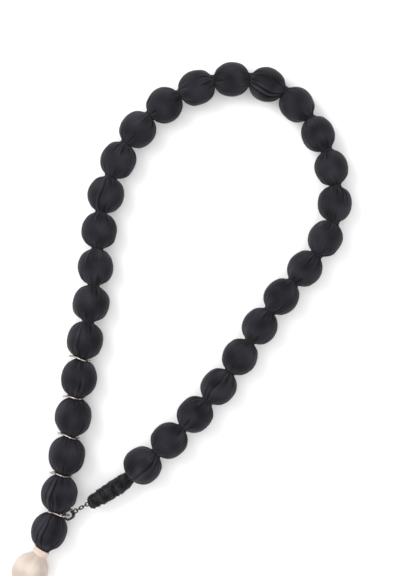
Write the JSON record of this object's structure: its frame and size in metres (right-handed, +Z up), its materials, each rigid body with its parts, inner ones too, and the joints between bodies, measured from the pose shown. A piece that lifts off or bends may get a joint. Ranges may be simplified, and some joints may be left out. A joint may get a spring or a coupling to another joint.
{
  "type": "prayer bead strand",
  "caption": "Loop of round cloth-covered beads on thread ties, closed by a lobster claw on a wrapped tab hooked to a wavy washer, with a cream bead and satin collar at the tail.",
  "frame": {"origin": "middle of the strand's outline in X and Y, on the plane it rests on", "axes": "+Z up out of the plane the strand lies on, +Y towards the top of the loop, away from the tail, +X to the right"},
  "size_m": [0.1956, 0.308, 0.0192],
  "materials": {
    "black_cloth": "matt charcoal silk and cotton cover over a drilled wooden ball",
    "cream_cloth": "soft ivory cloth",
    "satin_thread": "shiny wound ivory satin",
    "nickel_sheet": "worn warm nickel",
    "cotton_cord": "plain cord",
    "black_tape": "rough woven tape",
    "black_thread": "matt thread",
    "bronze_wire": "dark bronze",
    "gunmetal": "polished gunmetal",
    "pin_steel": "plain steel"
  },
  "bodies": {
    "bead_01": {"bead_01": "black_cloth"},
    "bead_02": {"bead_02": "black_cloth"},
    "bead_03": {"bead_03": "black_cloth"},
    "bead_04": {"bead_04": "black_cloth"},
    "bead_05": {"bead_05": "black_cloth"},
    "bead_06": {"bead_06": "black_cloth"},
    "bead_07": {"bead_07": "black_cloth"},
    "bead_08": {"bead_08": "black_cloth"},
    "bead_09": {"bead_09": "black_cloth"},
    "bead_10": {"bead_10": "black_cloth"},
    "bead_11": {"bead_11": "black_cloth"},
    "bead_12": {"bead_12": "black_cloth"},
    "bead_13": {"bead_13": "black_cloth"},
    "bead_14": {"bead_14": "black_cloth"},
    "bead_15": {"bead_15": "black_cloth"},
    "bead_16": {"bead_16": "black_cloth"},
    "bead_17": {"bead_17": "black_cloth"},
    "bead_18": {"bead_18": "black_cloth"},
    "bead_19": {"bead_19": "black_cloth"},
    "bead_20": {"bead_20": "black_cloth"},
    "bead_21": {"bead_21": "black_cloth"},
    "bead_22": {"bead_22": "black_cloth"},
    "bead_23": {"bead_23": "black_cloth"},
    "bead_24": {"bead_24": "black_cloth"},
    "bead_25": {"bead_25": "black_cloth"},
    "bead_26": {"bead_26": "black_cloth"},
    "bead_27": {"bead_27": "black_cloth"},
    "bead_28": {"bead_28": "black_cloth"},
    "bead_29": {"bead_29": "black_cloth"},
    "cream_bead": {"cream_bead": "cream_cloth", "satin_collar": "satin_thread"},
    "tail_tuft": {"tail_tuft": "cream_cloth", "tail_binding": "satin_thread"},
    "washer_1": {"washer_1": "nickel_sheet"},
    "washer_2": {"washer_2": "nickel_sheet"},
    "washer_3": {"washer_3": "nickel_sheet"},
    "washer_4": {"washer_4": "nickel_sheet"},
    "washer_5": {"washer_5": "nickel_sheet"},
    "tab": {"tab_core": "cotton_cord", "tab_wrap": "black_tape", "tab_whipping": "black_thread", "tab_eyelet": "bronze_wire"},
    "chain_link_1": {"chain_link_1": "bronze_wire"},
    "chain_link_2": {"chain_link_2": "bronze_wire"},
    "jump_ring": {"jump_ring": "bronze_wire"},
    "claw": {"claw": "gunmetal", "lever_pin": "pin_steel", "lever_spring": "pin_steel"},
    "claw_lever": {"claw_lever": "gunmetal"}
  },
  "joints": [
    {"name": "neck_13_14", "type": "hinge", "parent": "bead_14", "child": "bead_13", "pos_m": [0.05962, 0.13759, 0.0096], "axis": [0, 0, 1], "range_deg": [0, 30]},
    {"name": "neck_12_13", "type": "hinge", "parent": "bead_13", "child": "bead_12", "pos_m": [0.07393, 0.12278, 0.0096], "axis": [-0.809, -0.5878, 0], "range_deg": [-30, 30]},
    {"name": "neck_11_12", "type": "hinge", "parent": "bead_12", "child": "bead_11", "pos_m": [0.0836, 0.10459, 0.0096], "axis": [0, 0, 1], "range_deg": [0, 30]},
    {"name": "neck_10_11", "type": "hinge", "parent": "bead_11", "child": "bead_10", "pos_m": [0.08893, 0.08469, 0.0096], "axis": [0.9954, 0.0958, 0], "range_deg": [-30, 30]},
    {"name": "neck_09_10", "type": "hinge", "parent": "bead_10", "child": "bead_09", "pos_m": [0.08749, 0.06414, 0.0096], "axis": [0, 0, 1], "range_deg": [0, 30]},
    {"name": "neck_08_09", "type": "hinge", "parent": "bead_09", "child": "bead_08", "pos_m": [0.07814, 0.04578, 0.0096], "axis": [-0.829, 0.5592, 0], "range_deg": [-30, 30]},
    {"name": "neck_07_08", "type": "hinge", "parent": "bead_08", "child": "bead_07", "pos_m": [0.06463, 0.03024, 0.0096], "axis": [0, 0, 1], "range_deg": [0, 30]},
    {"name": "neck_06_07", "type": "hinge", "parent": "bead_07", "child": "bead_06", "pos_m": [0.05166, 0.01423, 0.0096], "axis": [0.809, -0.5878, 0], "range_deg": [-30, 30]},
    {"name": "neck_05_06", "type": "hinge", "parent": "bead_06", "child": "bead_05", "pos_m": [0.04044, -0.00305, 0.0096], "axis": [0, 0, 1], "range_deg": [0, 30]},
    {"name": "neck_04_05", "type": "hinge", "parent": "bead_05", "child": "bead_04", "pos_m": [0.02922, -0.02032, 0.0096], "axis": [-0.8141, 0.5807, 0], "range_deg": [-30, 30]},
    {"name": "neck_03_04", "type": "hinge", "parent": "bead_04", "child": "bead_03", "pos_m": [0.01654, -0.03656, 0.0096], "axis": [0, 0, 1], "range_deg": [0, 30]},
    {"name": "neck_02_03", "type": "hinge", "parent": "bead_03", "child": "bead_02", "pos_m": [0.00249, -0.05162, 0.0096], "axis": [0.7133, -0.7009, 0], "range_deg": [-30, 30]},
    {"name": "neck_01_02", "type": "hinge", "parent": "bead_02", "child": "bead_01", "pos_m": [-0.01233, -0.06593, 0.0096], "axis": [-0.682, 0.7314, 0], "range_deg": [-30, 30]},
    {"name": "neck_14_15", "type": "hinge", "parent": "bead_14", "child": "bead_15", "pos_m": [0.04052, 0.14531, 0.0096], "axis": [0, 0, -1], "range_deg": [0, 30]},
    {"name": "neck_15_16", "type": "hinge", "parent": "bead_15", "child": "bead_16", "pos_m": [0.01999, 0.14352, 0.0096], "axis": [0.2334, -0.9724, 0], "range_deg": [-30, 30]},
    {"name": "neck_16_17", "type": "hinge", "parent": "bead_16", "child": "bead_17", "pos_m": [0.00089, 0.1358, 0.0096], "axis": [0, 0, -1], "range_deg": [0, 30]},
    {"name": "neck_17_18", "type": "hinge", "parent": "bead_17", "child": "bead_18", "pos_m": [-0.01598, 0.12398, 0.0096], "axis": [-0.6756, 0.7373, 0], "range_deg": [-30, 30]},
    {"name": "neck_18_19", "type": "hinge", "parent": "bead_18", "child": "bead_19", "pos_m": [-0.02922, 0.1082, 0.0096], "axis": [0, 0, -1], "range_deg": [0, 30]},
    {"name": "neck_19_20", "type": "hinge", "parent": "bead_19", "child": "bead_20", "pos_m": [-0.03793, 0.08953, 0.0096], "axis": [0.9397, -0.342, 0], "range_deg": [-30, 30]},
    {"name": "neck_20_21", "type": "hinge", "parent": "bead_20", "child": "bead_21", "pos_m": [-0.04326, 0.06964, 0.0096], "axis": [0, 0, -1], "range_deg": [0, 30]},
    {"name": "neck_21_22", "type": "hinge", "parent": "bead_21", "child": "bead_22", "pos_m": [-0.04541, 0.04915, 0.0096], "axis": [-0.9954, 0.0958, 0], "range_deg": [-30, 30]},
    {"name": "neck_22_23", "type": "hinge", "parent": "bead_22", "child": "bead_23", "pos_m": [-0.04721, 0.02863, 0.0096], "axis": [0, 0, -1], "range_deg": [0, 30]},
    {"name": "neck_23_24", "type": "hinge", "parent": "bead_23", "child": "bead_24", "pos_m": [-0.05043, 0.00828, 0.0096], "axis": [0.9863, -0.165, 0], "range_deg": [-30, 30]},
    {"name": "neck_24_25", "type": "hinge", "parent": "bead_24", "child": "bead_25", "pos_m": [-0.05413, -0.0127, 0.0096], "axis": [-0.9877, 0.1564, 0], "range_deg": [-16, 16]},
    {"name": "neck_25_26", "type": "hinge", "parent": "bead_25", "child": "bead_26", "pos_m": [-0.05719, -0.03448, 0.0096], "axis": [-0.1495, -0.9888, 0], "range_deg": [-30, 30]},
    {"name": "neck_26_27", "type": "hinge", "parent": "bead_26", "child": "bead_27", "pos_m": [-0.06063, -0.05621, 0.0096], "axis": [-0.146, -0.9893, 0], "range_deg": [-30, 30]},
    {"name": "neck_27_28", "type": "hinge", "parent": "bead_27", "child": "bead_28", "pos_m": [-0.06445, -0.07788, 0.0096], "axis": [-0.1182, -0.993, 0], "range_deg": [-30, 30]},
    {"name": "neck_28_29", "type": "hinge", "parent": "bead_28", "child": "bead_29", "pos_m": [-0.06903, -0.0994, 0.0096], "axis": [0.9636, -0.2672, 0], "range_deg": [-20, 20]},
    {"name": "neck_29_cream", "type": "hinge", "parent": "bead_29", "child": "cream_bead", "pos_m": [-0.07596, -0.11954, 0.0096], "axis": [-0.91, 0.4147, 0], "range_deg": [-20, 20]},
    {"name": "tail_swing", "type": "hinge", "parent": "cream_bead", "child": "tail_tuft", "pos_m": [-0.08851, -0.14127, 0.0096], "axis": [0.866, -0.5, 0], "range_deg": [-30, 30]},
    {"name": "washer_1_spin", "type": "hinge", "parent": "bead_24", "child": "washer_1", "pos_m": [-0.05511, -0.01249, 0.0096], "axis": [-0.2079, -0.9781, 0], "continuous": true},
    {"name": "washer_2_spin", "type": "hinge", "parent": "bead_25", "child": "washer_2", "pos_m": [-0.05839, -0.03439, 0.0096], "axis": [-0.0785, -0.9969, 0], "continuous": true},
    {"name": "washer_3_spin", "type": "hinge", "parent": "bead_26", "child": "washer_3", "pos_m": [-0.06151, -0.056, 0.0096], "axis": [-0.2334, -0.9724, 0], "continuous": true},
    {"name": "washer_4_spin", "type": "hinge", "parent": "bead_27", "child": "washer_4", "pos_m": [-0.06584, -0.07768, 0.0096], "axis": [-0.1392, -0.9903, 0], "continuous": true},
    {"name": "washer_5_spin", "type": "hinge", "parent": "bead_28", "child": "washer_5", "pos_m": [-0.06705, -0.09973, 0.0096], "axis": [-0.165, -0.9863, 0], "range_deg": [-25, 25]},
    {"name": "tab_swing", "type": "hinge", "parent": "bead_01", "child": "tab", "pos_m": [-0.02764, -0.07972, 0.0096], "axis": [0.6691, -0.7431, 0], "range_deg": [-36, 36]},
    {"name": "link_1_roll", "type": "hinge", "parent": "tab", "child": "chain_link_1", "pos_m": [-0.05264, -0.09546, 0.0096], "axis": [-0.865, -0.5018, 0], "range_deg": [-12, 12]},
    {"name": "link_2_roll", "type": "hinge", "parent": "chain_link_1", "child": "chain_link_2", "pos_m": [-0.05437, -0.09646, 0.0096], "axis": [-0.865, -0.5018, 0], "range_deg": [-12, 12]},
    {"name": "jump_ring_roll", "type": "hinge", "parent": "chain_link_2", "child": "jump_ring", "pos_m": [-0.0561, -0.09747, 0.0096], "axis": [-0.865, -0.5018, 0], "range_deg": [-12, 12]},
    {"name": "claw_roll", "type": "hinge", "parent": "jump_ring", "child": "claw", "pos_m": [-0.05753, -0.09829, 0.0096], "axis": [-0.865, -0.5018, 0], "range_deg": [-12, 12]},
    {"name": "lever_swing", "type": "hinge", "parent": "claw", "child": "claw_lever", "pos_m": [-0.0603, -0.09794, 0.0096], "axis": [0, 0, 1], "range_deg": [0, 14], "stiffness_Nm_per_rad": 0.0002, "springref_deg": -17.19}
  ]
}
